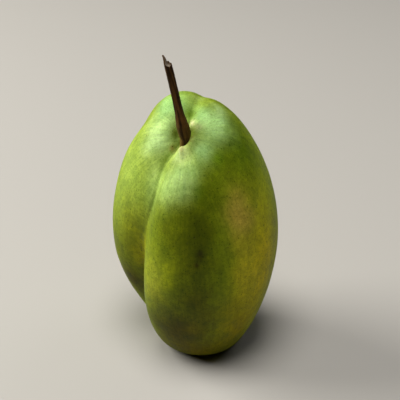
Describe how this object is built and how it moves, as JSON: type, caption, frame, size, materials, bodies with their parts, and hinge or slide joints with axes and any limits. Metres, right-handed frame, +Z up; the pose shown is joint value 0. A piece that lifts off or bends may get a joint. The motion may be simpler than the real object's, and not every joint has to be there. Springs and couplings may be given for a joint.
{
  "type": "pear",
  "caption": "Fresh green pear with a deep crease down one side, an oblique broken woody stem and a dried calyx in the hollow it stands round.",
  "frame": {"origin": "on the floor, under the middle of the whole pear's box", "axes": "+Z up from the calyx end to the stem end, +X to the right and -Y towards the side where the stem sits and the deep crease starts"},
  "size_m": [0.07, 0.0732, 0.1383],
  "materials": {
    "skin": "satin",
    "stem_bark": "matte",
    "dried_calyx": "matte"
  },
  "bodies": {
    "root": {"fruit": "skin", "stem": "stem_bark", "calyx": "dried_calyx"}
  },
  "joints": []
}
